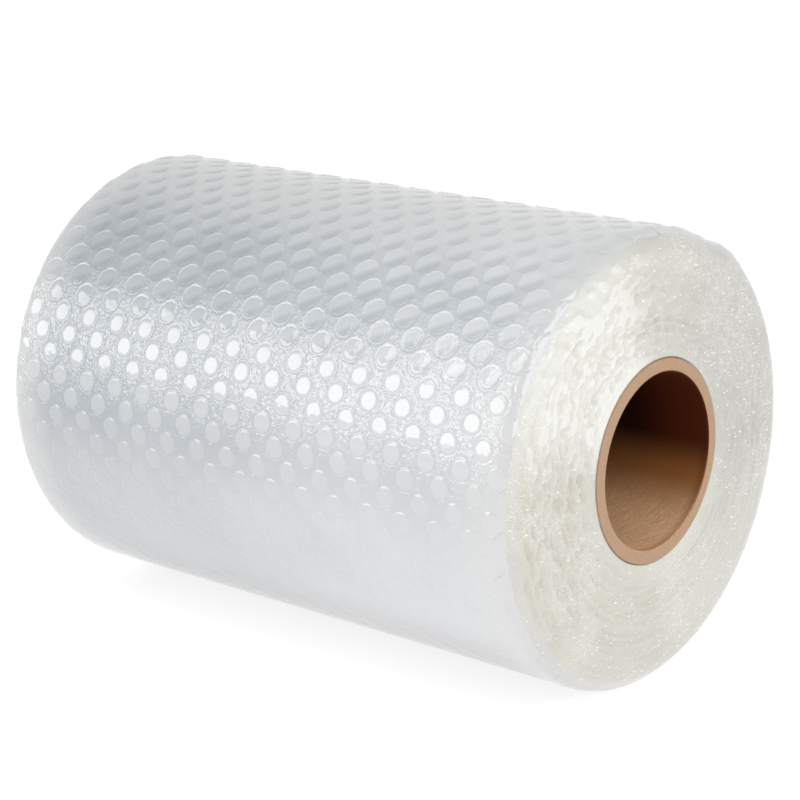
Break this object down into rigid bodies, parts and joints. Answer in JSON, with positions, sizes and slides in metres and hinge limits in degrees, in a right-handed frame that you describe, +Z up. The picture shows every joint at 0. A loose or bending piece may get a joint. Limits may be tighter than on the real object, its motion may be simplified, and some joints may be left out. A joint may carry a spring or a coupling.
{
  "type": "bubble wrap roll",
  "caption": "Roll of clear bubble wrap wound on an open cardboard tube, lying on its side with a small flat underneath.",
  "frame": {"origin": "middle of the footprint, on the surface that the roll lies on", "axes": "+X along the roll's axis towards the end that shows, +Z up, and +Y towards the back, where the loose end of the film lies"},
  "size_m": [0.297, 0.2028, 0.1997],
  "materials": {
    "bubble_film": "clear soft polyethylene with air bubbles, milky where it is many turns deep",
    "kraft_board": "plain brown wound paper, matte"
  },
  "bodies": {
    "root": {"bubble_wrap": "bubble_film", "cardboard_core": "kraft_board"}
  },
  "joints": []
}
